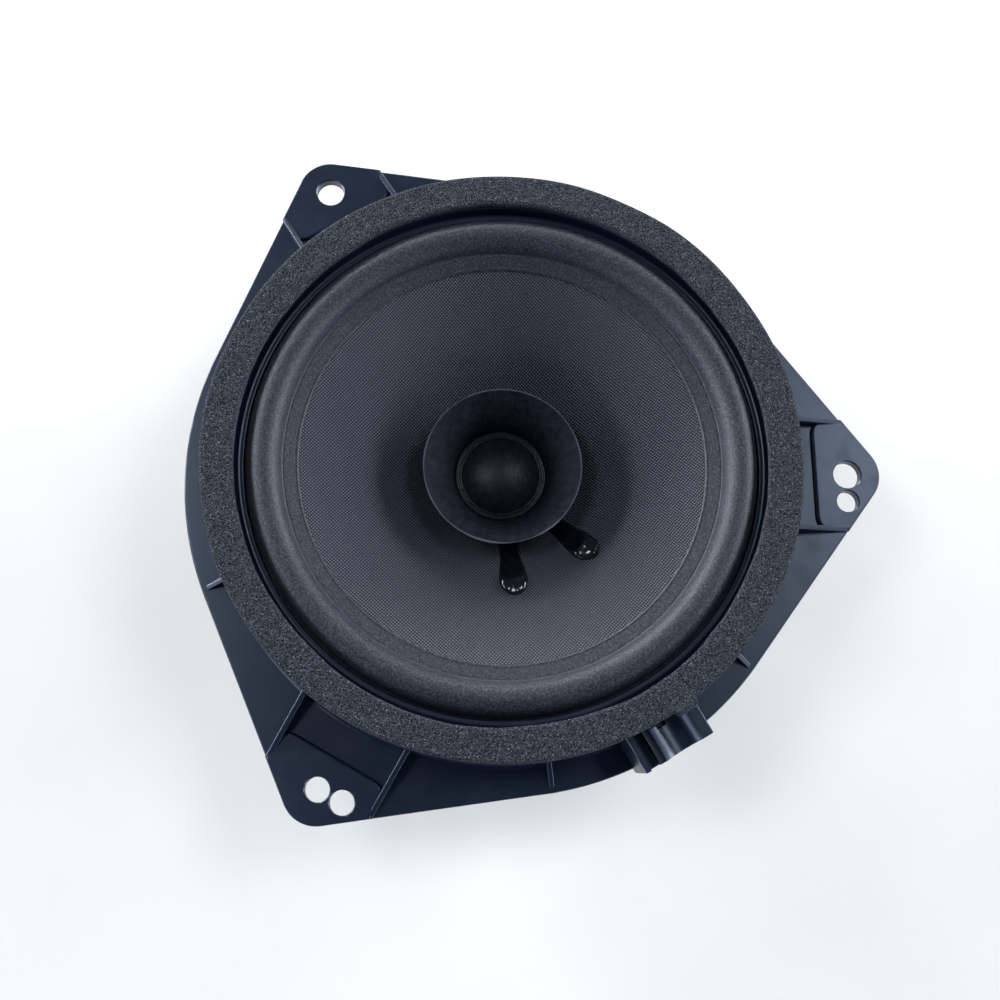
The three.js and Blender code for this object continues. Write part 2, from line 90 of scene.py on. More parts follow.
# bracket
EAR_MOUNT = next(mount for mount in frame["record"]["mounts"] if mount["name"] == "ear_pad_x")
FLANGE_BACK = EAR_MOUNT["pos_m"][2] / MM
FLANGE_FRONT = FLANGE_BACK + 2.2
EAR_PAD_FRONT = FLANGE_BACK + 3.4
FLANGE_R = 90
COLLAR_FOOT_R = 82
COLLAR_TOP_R = FOAM_R - 0.5
COLLAR_INNER_R = 78.3
COLLAR_TOP = FOAM_BACK - GAP
RECESS_R = 72.4
RECESS_STEP = COLLAR_TOP - 3.2
RECESS_STEP_R = 70.1
SURROUND_LEDGE = COLLAR_TOP - 4.1
SURROUND_LEDGE_R = 68.4
SEAT_BACK = low("basket_frame").z
SEAT_FRONT = SEAT_BACK + 2.5
SEAT_BORE_R = 24
SPIDER_LEDGE = 32.6
SPIDER_LEDGE_R = 37
BOWL_FOOT_R = 42.5
LEG_ANGLES = (30, 90, 150, 210, 270, 330)
LEG_WIDTH = 12

# ears
EAR_ANGLES = (0, 120, 240)
HOLE_CIRCLE_R = 100.8
EAR_CORNER_R = high("basket_frame").x - HOLE_CIRCLE_R
EAR_RIB_OFFSET = 16
RIB_HEIGHT = 6
RIB_WALL = 1.5
PAD_START = 91
GUSSET_TURN = 38.5
GUSSET_LENGTH = 6.5
MOUNTING_HOLES = ((0, 4), (-4.5, 3.15), (120, 4), (240, 3.4), (244.3, 3.4))  # angle, radius

# connector housing, in its own frame: x runs outwards, y around the rim
CONNECTOR_ANGLE = 300
HOUSING_FACE = 91
HOUSING_BACK = 79.5
HOUSING_TOP = 60
HOUSING_HALF = 10.5
SOCKET_BACK, SOCKET_HALF, SOCKET_LOW, SOCKET_HIGH = 83, 8, 45.6, 54
BLADE_TAIL, BLADE_LENGTH, BLADE_WIDTH, BLADE_WALL = 71, 18.5, 2.8, 0.8
BLADE_OFFSET = 3.2
SLOT_CLEARANCE = 0.15
GROOVE, STEP, LATCH = (-8.9, -5.8), (-5.9, -4), (-1.6, 1.4)
HOUSING_FLOOR = SOCKET_HIGH + 1.2
TROUGH_R, TROUGH_MIDDLE = 6.5, 1.6
BLADE_LOW = low("terminal_blade_1").z

# moving parts
CONE_R = high("cone").x
CONE_TOP = high("cone").z
CONE_NECK_R = 12.65
CONE_EDGE_SLOPE = 0.36
CONE_CURVE = 0.00247
CONE_WALL = 0.6
BAND_INNER_R = 55.9
ROLL_INNER_R, ROLL_OUTER_R = 60.4, 69.3
ROLL_RISE = 5.2
SURROUND_FLANGE_R = high("surround").x
GLUE_RING_Z = (low("neck_glue_ring").z + high("neck_glue_ring").z) / 2
GLUE_RING_R = 12.1
WHIZZER_FOOT_R = 13.1
WHIZZER_BACK = low("whizzer_cone").z
WHIZZER_RIM_R, WHIZZER_RIM_Z = 22.2, 55.1
DUST_CAP_R = high("dust_cap").x
DUST_CAP_RISE = high("dust_cap").z - GLUE_RING_Z
LEAD_EXITS = ((275.5, -1), (316, 1))  # angle, side of the connector
LEAD_EXIT_R = 32
LEAD_R = 0.6
GLUE_START = 15.2
GLUE_CREST = LEAD_EXIT_R - 0.6
GLUE_END = LEAD_EXIT_R + 4

# coil and magnet system
FORMER_INNER_R, FORMER_OUTER_R = 12.3, 12.55
COIL_TURNS = 30
POLE_R = 12
PLATE_BORE_R = 13.5
MAGNET_BORE_R = 17

# rivets that hold the front plate to the bracket
RIVET_CIRCLE_R = 29
RIVET_R = 1.5
RIVET_ANGLES = (0, 90, 180, 270)

# the cone's cloth
WEAVE_PITCH = 0.667
WEAVE_TURN = 42

# ---------- camera, in metres and degrees ----------

CAMERA_TILT = 12.7
CAMERA_TURN = -2.7
CAMERA_PLACE = (-0.0162, -0.0815, 0.3727)
CAMERA_LENS = 42.48


def cone_front(r):
    """Height of the cone's front face at a radius."""
    inwards = CONE_R - r
    return CONE_TOP - CONE_EDGE_SLOPE * inwards - CONE_CURVE * inwards * inwards


# ---------- mesh tools ----------

def polar(radius, degrees, z=0.0):
    turn = math.radians(degrees)
    return Vector((radius * math.cos(turn), radius * math.sin(turn), z))


def circle(radius, count, centre=Vector((0, 0, 0)), z=0.0):
    return [centre + polar(radius, 360 * i / count, z) for i in range(count)]


def at_connector(out, around, z):
    return Matrix.Rotation(math.radians(CONNECTOR_ANGLE), 4, "Z") @ Vector((out, around, z))


def new_object(name, data):
    made = bpy.data.objects.new(name, data)
    bpy.context.scene.collection.objects.link(made)
    return made


def mesh_object(name, points, faces):
    mesh = bpy.data.meshes.new(name)
    mesh.from_pydata([tuple(p) for p in points], [], faces)
    piece = new_object(name, mesh)
    work = bmesh.new()
    work.from_mesh(mesh)
    bmesh.ops.remove_doubles(work, verts=work.verts, dist=1e-4)
    bmesh.ops.dissolve_degenerate(work, edges=work.edges, dist=1e-5)
    bmesh.ops.recalc_face_normals(work, faces=work.faces)
    work.to_mesh(mesh)
    work.free()
    return piece


def lofted(loops, ring=False):
    """Points and faces that join loops of equally many points. A ring also joins the last loop to the
    first, and otherwise both ends are capped."""
    count = len(loops[0])
    points = [p for loop in loops for p in loop]
    faces = []
    for i in range(len(loops) if ring else len(loops) - 1):
        a = i * count
        b = (i + 1) % len(loops) * count
        faces += [(a + j, a + (j + 1) % count, b + (j + 1) % count, b + j) for j in range(count)]
    if not ring:
        faces.append(tuple(range(count)))
        faces.append(tuple(range(len(points) - count, len(points))))
    return points, faces


def loft(name, loops, ring=False):
    return mesh_object(name, *lofted(loops, ring))


def lathe(name, outline, segments):
    """A closed outline of (radius, height) points, turned about the Z axis."""
    angles = [360 * i / segments for i in range(segments)]
    return loft(name, [[polar(r, a, z) for r, z in outline] for a in angles], ring=True)


def rounded(corners, steps=4):
    """A closed outline from (x, y, fillet) corners."""
    outline = []
    for before, corner, after in zip(corners[-1:] + corners[:-1], corners, corners[1:] + corners[:1]):
        here = Vector(corner[:2])
        size = corner[2] if len(corner) > 2 else 0
        if not size:
            outline.append(tuple(here))
            continue
        back = Vector(before[:2]) - here
        ahead = Vector(after[:2]) - here
        start = here + back.normalized() * min(size, back.length * 0.48)
        end = here + ahead.normalized() * min(size, ahead.length * 0.48)
        for i in range(steps + 1):
            t = i / steps
            outline.append(tuple(start * (1 - t) ** 2 + here * 2 * t * (1 - t) + end * t * t))
    return outline


def tube(name, node, inner, outer, fillets, steps, segments):
    """A ring as tall as its CAD node, with a fillet for each corner of its section."""
    bottom, top = low(node).z, high(node).z
    corners = list(zip((inner, outer, outer, inner), (bottom, bottom, top, top), fillets))
    return lathe(name, rounded(corners, steps), segments)


def shell(curve, wall, cap_steps=4):
    """A closed outline of even thickness round an open curve, with round ends."""
    sides = ([], [])
    normals = []
    for i in range(len(curve)):
        before = Vector(curve[max(i - 1, 0)])
        after = Vector(curve[min(i + 1, len(curve) - 1)])
        along = (after - before).normalized()
        normals.append(Vector((-along.y, along.x)))
    for point, normal in zip(curve, normals):
        for side, sign in zip(sides, (1, -1)):
            side.append(tuple(Vector(point) + normal * wall / 2 * sign))

    def cap(point, normal):
        turns = [Matrix.Rotation(-math.pi * i / cap_steps, 2) for i in range(1, cap_steps)]
        return [tuple(Vector(point) + turn @ normal * wall / 2) for turn in turns]

    end = cap(curve[-1], normals[-1])
    start = cap(curve[0], -normals[0])
    return sides[0] + end + sides[1][::-1] + start


def prism(name, outline, z_low, z_high, degrees=0):
    """An outline in the XY plane made into a solid, then turned about the Z axis."""
    turn = Matrix.Rotation(math.radians(degrees), 4, "Z")
    return loft(name, [[turn @ Vector((x, y, z)) for x, y in outline] for z in (z_low, z_high)])


def upright(name, outline, wall, offset, degrees):
    """An outline in the XZ plane made into a wall, shifted along Y, then turned about the Z axis."""
    turn = Matrix.Rotation(math.radians(degrees), 4, "Z")
    sides = (offset - wall / 2, offset + wall / 2)
    return loft(name, [[turn @ Vector((x, y, z)) for x, z in outline] for y in sides])


def block(name, x, y, z, degrees, edge=0.0):
    """A box from three (low, high) spans, turned about the Z axis."""
    corners = [(x[0], y[0]), (x[1], y[0]), (x[1], y[1]), (x[0], y[1])]
    piece = prism(name, corners, z[0], z[1], degrees)
    return bevelled(piece, edge) if edge else piece


def apply_modifiers(piece):
    """Makes the piece's evaluated mesh its own mesh."""
    graph = bpy.context.evaluated_depsgraph_get()
    mesh = bpy.data.meshes.new_from_object(piece.evaluated_get(graph))
    piece.modifiers.clear()
    old = piece.data
    piece.data = mesh
    bpy.data.meshes.remove(old)
    return piece


def bevelled(piece, width):
    """Rounds every edge that turns by more than 35 degrees."""
    modifier = piece.modifiers.new("bevel", "BEVEL")
    modifier.width = width
    modifier.segments = 3
    modifier.limit_method = "ANGLE"
    modifier.angle_limit = math.radians(35)
    modifier.miter_outer = "MITER_ARC"
    return apply_modifiers(piece)


def combine(piece, tools, operation):
    """Joins ("UNION"), cuts ("DIFFERENCE") or keeps the overlap ("INTERSECT") with each tool."""
    for tool in tools:
        modifier = piece.modifiers.new("combine", "BOOLEAN")
        modifier.operation = operation
        modifier.solver = "MANIFOLD"
        modifier.object = tool
        apply_modifiers(piece)
        bpy.data.objects.remove(tool)
    return piece


def displace(piece, move):
    """Moves each vertex by move(position, normal), in millimetres."""
    mesh = piece.data
    moved = [v.co + move(v.co, v.normal) for v in mesh.vertices]
    for vertex, place in zip(mesh.vertices, moved):
        vertex.co = place
    return piece


def finished(piece, look, body, nodes, angle=30):
    """Scales a piece to metres, shades it, gives it its material and body, and hides the CAD nodes it
    replaces.
    """
    mesh = piece.data
    mesh.transform(Matrix.Scale(MM, 4))
    mesh.shade_smooth()
    mesh.set_sharp_from_angle(angle=math.radians(angle))
    mesh.materials.clear()
    mesh.materials.append(look)
    if body:
        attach(piece, body)
    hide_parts(*nodes)


def flat_faces_first(piece):
    """Large flat faces keep their own shading beside small fillets."""
    modifier = piece.modifiers.new("shading", "WEIGHTED_NORMAL")
    modifier.keep_sharp = True
    modifier.weight = 100


# ---------- materials ----------

class Look:
    """A Principled material with short calls for its procedural nodes."""

    def __init__(self, name, **values):
        self.material = bpy.data.materials.new(name)
        self.material.use_nodes = True
        self.tree = self.material.node_tree
        self.shader = self.tree.nodes["Principled BSDF"]
        for socket, value in values.items():
            self.shader.inputs[socket.replace("_", " ")].default_value = value
        self.place = self.tree.nodes.new("ShaderNodeTexCoord").outputs["Object"]

    def put(self, socket, value):
        if isinstance(value, bpy.types.NodeSocket):
            self.tree.links.new(value, socket)
        elif value is not None:
            socket.default_value = value

    def node(self, kind, inputs, **settings):
        node = self.tree.nodes.new(kind)
        for name, value in settings.items():
            setattr(node, name, value)
        for name, value in inputs.items():
            self.put(node.inputs[name], value)
        return node

    def math(self, operation, a, b=None, c=None, clamp=False):
        node = self.node("ShaderNodeMath", {}, operation=operation, use_clamp=clamp)
        for socket, value in zip(node.inputs, (a, b, c)):
            self.put(socket, value)
        return node.outputs[0]

    def scaled(self, value, factor, plus=0.0, clamp=False):
        """value * factor + plus"""
        return self.math("MULTIPLY_ADD", value, factor, plus, clamp)

    def parts(self, vector=None):
        return tuple(self.node("ShaderNodeSeparateXYZ", {"Vector": vector or self.place}).outputs)

    def turned(self, degrees, size):
        """Coordinates turned about the Z axis, whose unit is size millimetres."""
        return self.node("ShaderNodeMapping", {
            "Vector": self.place, "Rotation": (0, 0, math.radians(degrees)),
            "Scale": (1 / (size * MM),) * 3}).outputs[0]

    def noise(self, size, detail=2.0, rough=0.5, vector=None):
        """Noise with features about size millimetres across."""
        return self.node("ShaderNodeTexNoise", {
            "Vector": vector or self.place, "Scale": 1 / (size * MM), "Detail": detail,
            "Roughness": rough}).outputs["Fac"]

    def cells(self, size, feature="F1", smooth=None):
        inputs = {"Vector": self.place, "Scale": 1 / (size * MM)}
        if smooth:
            inputs["Smoothness"] = smooth
        return self.node("ShaderNodeTexVoronoi", inputs, feature=feature).outputs["Distance"]

    def ramp(self, value, stops):
        """A colour ramp of (position, colour) stops, where a plain number is a grey."""
        node = self.node("ShaderNodeValToRGB", {"Fac": value})
        elements = node.color_ramp.elements
        while len(elements) < len(stops):
            elements.new(0.5)
        for element, (position, colour) in zip(elements, stops):
            element.position = position
            plain = isinstance(colour, (int, float))
            element.color = (colour, colour, colour, 1) if plain else (*colour, 1)
        return node.outputs["Color"]

    def mix(self, amount, base, colour):
        """The base with a plain colour over it."""
        inputs = {"Factor": amount, "A": base, "B": (*colour, 1)}
        return self.node("ShaderNodeMix", inputs, data_type="RGBA").outputs["Result"]

    def bump(self, height, distance, strength=1.0, normal=None):
        """distance is the height's full range in millimetres."""
        return self.node("ShaderNodeBump", {
            "Height": height, "Distance": distance * MM, "Strength": strength,
            "Normal": normal}).outputs[0]

    def round_the_axis(self, around, outwards, upwards):
        """Coordinates that run around, outwards and along the Z axis, each with its own stretch."""
        x, y, z = self.parts()
        angle = self.math("ARCTAN2", y, x)
        out = self.math("SQRT", self.scaled(x, x, self.scaled(y, y)))
        return self.node("ShaderNodeCombineXYZ", {
            "X": self.scaled(angle, around), "Y": self.scaled(out, outwards),
            "Z": self.scaled(z, upwards)}).outputs[0]

    def made(self, colour, roughness=None, normal=None):
        """The material, with what is given fed to its shader."""
        for name, value in (("Base Color", colour), ("Roughness", roughness), ("Normal", normal)):
            self.put(self.shader.inputs[name], value)
        return self.material


def grey(value, blue=1.6):
    """A grey whose blue is stronger than its red by a factor."""
    return (value, value * (1 + (blue - 1) / 4), value * blue)


def plastic_look():
    """Blue-black polypropylene: satin gloss, faint sink marks and a little dust."""
    look = Look("black_plastic", IOR=1.5, Specular_Tint=(0.75, 0.88, 1.1, 1))
    flow = look.noise(28, 2, 0.5)
    grain = look.noise(0.5, 3, 0.6)
    dust = look.ramp(look.cells(2.6), [(0.0, 1.0), (0.045, 0.0)])
    base = look.ramp(flow, [(0.3, (0.0033, 0.006, 0.016)), (0.7, (0.0045, 0.008, 0.021))])
    smear = look.noise(9, 4, 0.6)
    wear = look.scaled(look.ramp(smear, [(0.5, 0.0), (0.75, 1.0)]), 0.08, 0.31)
    return look.made(
        colour=look.mix(look.scaled(dust, 0.2), base, grey(0.08)),
        roughness=look.scaled(grain, 0.05, wear),
        normal=look.bump(grain, 0.01, 0.4, look.bump(flow, 0.2, 0.3)))


def foam_look():
    """Open-cell charcoal foam: thin pale cell walls round pits painted near black as painted shade, with
    a few painted glints.
    """
    look = Look("gasket_foam", Roughness=0.85, Specular_IOR_Level=0.2)
    walls = look.cells(0.8, "DISTANCE_TO_EDGE")
    pits = look.cells(0.5, "SMOOTH_F1", smooth=0.2)
    specks = look.noise(0.34, 2, 0.6)
    tone = look.noise(5, 3, 0.6)
    # painted shade: the middle of each cell is painted near black, as shade in the open pits
    cell = look.ramp(walls, [(0.0, grey(0.06)), (0.12, grey(0.012)), (0.3, grey(0.001))])
    skin = look.mix(look.ramp(pits, [(0.2, 0.0), (0.5, 0.5)]), cell, grey(0.014))
    # painted glints: a few bright specks painted into the colour as highlights
    painted_glint = look.ramp(specks, [(0.6, 0.0), (0.68, 1.0)])
    bright = look.mix(look.scaled(painted_glint, 0.7), skin, grey(0.24, 1.35))
    shade = look.scaled(tone, 0.5, 0.1)
    return look.made(
        colour=look.mix(look.scaled(shade, 0.6), bright, grey(0.008)),
        normal=look.bump(specks, 0.14, 0.8, look.bump(pits, 0.22, 0.8)))


def surround_look():
    """Coated foam rubber with a fine speckled grain that catches the light."""
    look = Look("surround_rubber", Specular_IOR_Level=0.27)
    grain = look.noise(0.55, 3, 0.75)
    cloud = look.noise(7, 3, 0.5)
    return look.made(
        colour=look.ramp(grain, [(0.35, grey(0.006)), (0.5, grey(0.017)), (0.66, grey(0.046))]),
        roughness=look.scaled(cloud, 0.12, 0.38),
        normal=look.bump(grain, 0.16, 0.9))


def weave_height(look):
    """A plain weave seen along the axis: each thread is a ridge that rises and dips over the others."""
    x, y, _ = look.parts(look.turned(WEAVE_TURN, WEAVE_PITCH))
    threads = []
    for across, along, sign in ((x, y, 1), (y, x, -1)):
        ridge = look.math("ABSOLUTE", look.math("SINE", look.scaled(across, math.pi)))
        step = look.scaled(look.math("FLOOR", across), math.pi)
        middle = look.math("SUBTRACT", along, 0.5)
        wave = look.math("COSINE", look.scaled(middle, math.pi, step))
        lift = look.scaled(wave, 0.4 * sign, 0.6)
        threads.append(look.scaled(look.math("POWER", ridge, 0.7), lift))
    return look.math("MAXIMUM", *threads)


def woven_look():
    """Coated plain-weave cloth over the cone. Its colour follows the weave's height: painted shade in the
    gaps between threads, painted light on the thread crowns.
    """
    look = Look("woven_cone", Specular_IOR_Level=0.3)
    weave = weave_height(look)
    fibre = look.noise(0.25, 2, 0.6)
    cloud = look.noise(16, 3, 0.5)
    # painted shade and light: low parts of the weave are painted near black, high parts pale
    thread = look.ramp(weave, [(0.45, grey(0.0003)), (0.68, grey(0.008)), (0.95, grey(0.12))])
    return look.made(
        colour=look.mix(look.scaled(fibre, 0.25), thread, grey(0.03)),
        roughness=look.scaled(cloud, 0.12, 0.46),
        normal=look.bump(fibre, 0.05, 0.5, look.bump(weave, 0.36, 1)))


def paper_look(name, shade, rough, sheen, rim=None):
    """Matte pressed paper with felt fibres, mottled, faintly stroked outwards. Above the height rim, a
    painted highlight lightens the paper's rim.
    """
    look = Look(name, Specular_IOR_Level=sheen)
    felt = look.noise(0.5, 4, 0.65)
    mottle = look.noise(2.2, 3, 0.6)
    strokes = look.noise(1.0, 3, 0.6, look.round_the_axis(0.03, 0.12, 0.12))
    mixed = look.scaled(strokes, 0.22, look.scaled(mottle, 0.4))
    mixed = look.scaled(felt, 0.38, mixed)
    paper = look.ramp(mixed, [(0.34, grey(shade * 0.15, 1.8)), (0.66, grey(shade * 1.85, 1.8))])
    if rim:
        height = look.parts()[2]
        # painted highlight: the paper above the rim height is painted paler, as light along the rim's
        # edge
        painted_rim_highlight = look.scaled(height, 1 / (0.25 * MM), -rim * MM / (0.25 * MM), clamp=True)
        paper = look.mix(look.scaled(painted_rim_highlight, 0.8), paper, grey(0.09))
    return look.made(
        colour=paper,
        roughness=look.scaled(mottle, 0.16, rough),
        normal=look.bump(felt, 0.1, 0.8, look.bump(mottle, 0.1, 0.4)))


def glue_look(name, rough, ripple_height, coat):
    """Black glue, with a few ripples."""
    look = Look(name, Specular_IOR_Level=0.35, Coat_Weight=coat, Coat_Roughness=rough)
    ripple = look.noise(1.3, 2, 0.5)
    return look.made(
        colour=look.ramp(ripple, [(0.3, grey(0.002, 2)), (0.7, grey(0.006, 2))]),
        roughness=look.scaled(look.noise(3, 2), 0.1, rough),
        normal=look.bump(ripple, ripple_height, 0.4))


def metal_look(name, colour, rough, turned=True, tarnish=0.15):
    """Plated or bare metal with lathe marks or a random brushed grain, and cloudy tarnish."""
    look = Look(name, Metallic=1.0)
    if turned:
        marks = look.noise(0.16, 3, 0.7, look.round_the_axis(0.002, 1.0, 1.0))
    else:
        marks = look.noise(0.3, 3, 0.7)
    cloud = look.noise(9, 4, 0.6)
    dark = tuple(c * (1 - tarnish * 2) for c in colour)
    scratched = look.scaled(marks, 0.16, rough - 0.1)
    return look.made(
        colour=look.ramp(cloud, [(0.35, dark), (0.65, colour)]),
        roughness=look.scaled(cloud, tarnish, scratched),
        normal=look.bump(marks, 0.02, 0.5))


def ferrite_look():
    """Ground grey-black ceramic with small chips."""
    look = Look("ferrite", Specular_IOR_Level=0.6)
    grit = look.noise(0.25, 4, 0.7)
    chips = look.ramp(look.cells(3.2), [(0.03, 1.0), (0.1, 0.0)])
    base = look.ramp(grit, [(0.3, grey(0.016, 1.05)), (0.7, grey(0.035, 1.05))])
    return look.made(
        colour=look.mix(look.scaled(chips, 0.5), base, grey(0.07, 1.0)),
        roughness=look.scaled(grit, 0.3, 0.35),
        normal=look.bump(grit, 0.04, 0.6, look.bump(chips, -0.1, 0.5)))


def spider_look():
    """Resin-dipped cotton cloth, amber, with a visible open weave."""
    look = Look("spider_cloth", Specular_IOR_Level=0.4)
    x, y, _ = look.parts(look.turned(20, 0.55))
    ridges = [look.math("ABSOLUTE", look.math("SINE", look.scaled(v, math.pi))) for v in (x, y)]
    weave = look.math("MAXIMUM", *ridges)
    stain = look.noise(5, 4, 0.6)
    cloth = look.ramp(weave, [(0.35, (0.09, 0.045, 0.012)), (0.9, (0.42, 0.25, 0.09))])
    return look.made(
        colour=look.mix(look.scaled(stain, 0.6), cloth, (0.3, 0.16, 0.05)),
        roughness=look.scaled(stain, 0.2, 0.55),
        normal=look.bump(weave, 0.15, 0.8))


def former_look():
    """Amber polyimide film."""
    look = Look("coil_former", Coat_Weight=0.3, Coat_Roughness=0.15)
    cloud = look.noise(4, 3)
    return look.made(
        colour=look.ramp(cloud, [(0.3, (0.22, 0.09, 0.02)), (0.7, (0.36, 0.17, 0.045))]),
        roughness=look.scaled(cloud, 0.15, 0.3))


# ---------- bracket ----------

def flange_outline(inset=0.0, arc_steps=16):
    """Round body and three ears, pulled in by inset, joined by straight edges."""
    half = math.degrees(math.acos((FLANGE_R - EAR_CORNER_R) / HOLE_CIRCLE_R))
    outline = []
    for ear in EAR_ANGLES:
        centre = polar(HOLE_CIRCLE_R, ear)
        for i in range(arc_steps + 1):
            angle = ear - half + 2 * half * i / arc_steps
            outline.append(centre + polar(EAR_CORNER_R - inset, angle))
        for i in range(1, 2 * arc_steps):
            angle = ear + half + (120 - 2 * half) * i / (2 * arc_steps)
            outline.append(polar(FLANGE_R - inset, angle))
        outline.append(polar(FLANGE_R - inset, ear + 120 - half))
    return outline


def flange_plate(name, z_high, inner_r, edge=0.6):
    """A flat ring between a circle and the flange outline, with its outer edges rounded."""
    rows = [(0.0, FLANGE_BACK + edge), (0.0, z_high - edge)]
    top = [(edge * (1 - math.cos(t)), z_high - edge * (1 - math.sin(t)))
           for t in (math.pi / 6, math.pi / 3, math.pi / 2)]
    rows = [(edge * 0.5, FLANGE_BACK)] + rows + top
    loops = [[p + Vector((0, 0, z)) for p in flange_outline(inset)] for inset, z in rows]
    for z in (z_high, FLANGE_BACK):
        loops.append([p.normalized() * inner_r + Vector((0, 0, z)) for p in flange_outline()])
    return loft(name, loops, ring=True)


def bowl():
    """Magnet seat, spider ledge, sloping bowl, collar, and the recess for the surround, turned as one."""
    return lathe("bowl", rounded([
        (SEAT_BORE_R, SEAT_BACK, 0.3),
        (BOWL_FOOT_R - 1, SEAT_BACK, 0.8),
        (BOWL_FOOT_R + 2, SPIDER_LEDGE - 4, 2),
        (COLLAR_INNER_R, FLANGE_BACK),
        (COLLAR_FOOT_R, FLANGE_BACK),
        (COLLAR_FOOT_R + 0.6, FLANGE_FRONT),
        (COLLAR_FOOT_R - 0.1, FLANGE_FRONT + 0.8, 0.7),
        (COLLAR_TOP_R, COLLAR_TOP, 0.6),
        (RECESS_R, COLLAR_TOP, 0.5),
        (RECESS_R - 0.4, RECESS_STEP, 1.2),
        (RECESS_STEP_R, RECESS_STEP, 0.9),
        (RECESS_STEP_R - 0.05, SURROUND_LEDGE),
        (SURROUND_LEDGE_R, SURROUND_LEDGE, 0.3),
        (SURROUND_LEDGE_R, SURROUND_LEDGE - 2.2, 0.4),
        (COLLAR_INNER_R, SURROUND_LEDGE - 2.2, 1.2),
        (COLLAR_INNER_R, FLANGE_FRONT + 2, 1),
        (COLLAR_INNER_R - 2, FLANGE_FRONT, 1),
        (BOWL_FOOT_R + 1, SPIDER_LEDGE - 1, 1),
        (BOWL_FOOT_R - 0.5, SPIDER_LEDGE, 0.4),
        (SPIDER_LEDGE_R, SPIDER_LEDGE, 0.4),
        (SPIDER_LEDGE_R, SEAT_FRONT, 1),
        (SEAT_BORE_R, SEAT_FRONT, 0.3),
    ]), 216)


def window(start):
    """The opening between two parallel-sided legs, with round corners."""
    inner, outer = BOWL_FOOT_R + 3, COLLAR_INNER_R - 3.5
    corner = 2.5
    steps = 18

    def side(radius, leg, sign):
        return polar(radius, leg + sign * math.degrees(math.asin(LEG_WIDTH / 2 / radius)))

    def arc(radius, first, last):
        a = math.degrees(math.atan2(first.y, first.x))
        b = math.degrees(math.atan2(last.y, last.x))
        turn = (b - a + 180) % 360 - 180
        return [polar(radius, a + turn * i / steps) for i in range(steps + 1)]

    points = arc(outer, side(outer, start, 1), side(outer, start + 60, -1))
    points += arc(inner, side(inner, start + 60, -1), side(inner, start, 1))
    ends = (0, steps, steps + 1, len(points) - 1)
    corners = [(p.x, p.y, corner if i in ends else 0) for i, p in enumerate(points)]
    # the points beside each corner make way for its fillet
    kept = [c for i, c in enumerate(corners) if i in ends or all(abs(i - e) > 1 for e in ends)]
    return prism("window", rounded(kept, 5), SEAT_BACK - 1, FLANGE_FRONT + 3)


def stiffener(name, start, end, offset, degrees):
    """A wedge-shaped rib on the flange, highest at the collar."""
    outline = [(start, FLANGE_FRONT - 0.8), (end, FLANGE_FRONT - 0.8), (end, FLANGE_FRONT + 0.35),
               (start, FLANGE_FRONT + RIB_HEIGHT)]
    return bevelled(upright(name, outline, RIB_WALL, offset, degrees), 0.35)


def leg_rib(degrees):
    """The stiffening fin behind a leg."""
    outline = [(BOWL_FOOT_R - 1, SEAT_BACK + 0.3), (BOWL_FOOT_R + 6, SEAT_BACK + 1.5),
               (COLLAR_INNER_R, FLANGE_BACK - 3), (COLLAR_INNER_R + 2, FLANGE_BACK + 0.5),
               (BOWL_FOOT_R + 2, SPIDER_LEDGE - 2.5)]
    return bevelled(upright("leg_rib", outline, RIB_WALL, 0, degrees), 0.3)


def ear_pad(degrees):
    """The raised pad between an ear's two ribs, cut to the flange's outline."""
    far = HOLE_CIRCLE_R + EAR_CORNER_R + 5
    half = EAR_RIB_OFFSET + RIB_WALL / 3
    outline = rounded([(PAD_START, -half, 4.5), (far, -half), (far, half), (PAD_START, half, 4.5)], 8)
    pad = bevelled(prism("pad", outline, FLANGE_BACK + 0.4, EAR_PAD_FRONT, degrees), 1.0)
    return combine(pad, [flange_plate("column", EAR_PAD_FRONT, 60, 0.5)], "INTERSECT")


def housing_parts():
    """The connector housing, and what is cut from it: side groove, step, trough, latch slot, socket."""
    turn = CONNECTOR_ANGLE
    start, end = HOUSING_BACK + 1.5, HOUSING_FACE + 1
    body = block("housing", (HOUSING_BACK, HOUSING_FACE), (-HOUSING_HALF, HOUSING_HALF),
                 (FLANGE_BACK, HOUSING_TOP), turn, 0.4)
    trough = loft("trough", [[at_connector(x, TROUGH_MIDDLE + p.x, HOUSING_TOP + 3 + p.y)
                              for p in circle(TROUGH_R, 64)] for x in (start + 0.8, end)])
    cuts = [
        block("groove", (start, end), GROOVE, (HOUSING_FLOOR, HOUSING_TOP + 1), turn, 0.3),
        block("step", (start, end), STEP, (HOUSING_TOP - 1.4, HOUSING_TOP + 1), turn, 0.3),
        trough,
        block("latch", (start, start + 2), LATCH, (HOUSING_FLOOR, HOUSING_TOP), turn, 0.2),
        block("socket", (SOCKET_BACK, end), (-SOCKET_HALF, SOCKET_HALF), (SOCKET_LOW, SOCKET_HIGH),
              turn, 0.4),
    ]
    for side in (-1, 1):
        middle_y = side * BLADE_OFFSET
        half = BLADE_WIDTH / 2 + SLOT_CLEARANCE
        cuts.append(block(
            "slot", (COLLAR_INNER_R - 3, SOCKET_BACK + 1), (middle_y - half, middle_y + half),
            (BLADE_LOW - SLOT_CLEARANCE, BLADE_LOW + BLADE_WALL + SLOT_CLEARANCE), turn))
    return body, cuts


def screw_hole(angle, radius):
    """A through hole with slightly broken edges."""
    centre = polar(HOLE_CIRCLE_R, angle)
    lip = 0.3
    wide = radius + lip
    rows = [(wide, FLANGE_BACK - 1), (wide, FLANGE_BACK), (radius, FLANGE_BACK + lip),
            (radius, EAR_PAD_FRONT - lip), (wide, EAR_PAD_FRONT), (wide, EAR_PAD_FRONT + 1)]
    return loft("hole", [circle(r, 64, centre, z) for r, z in rows])


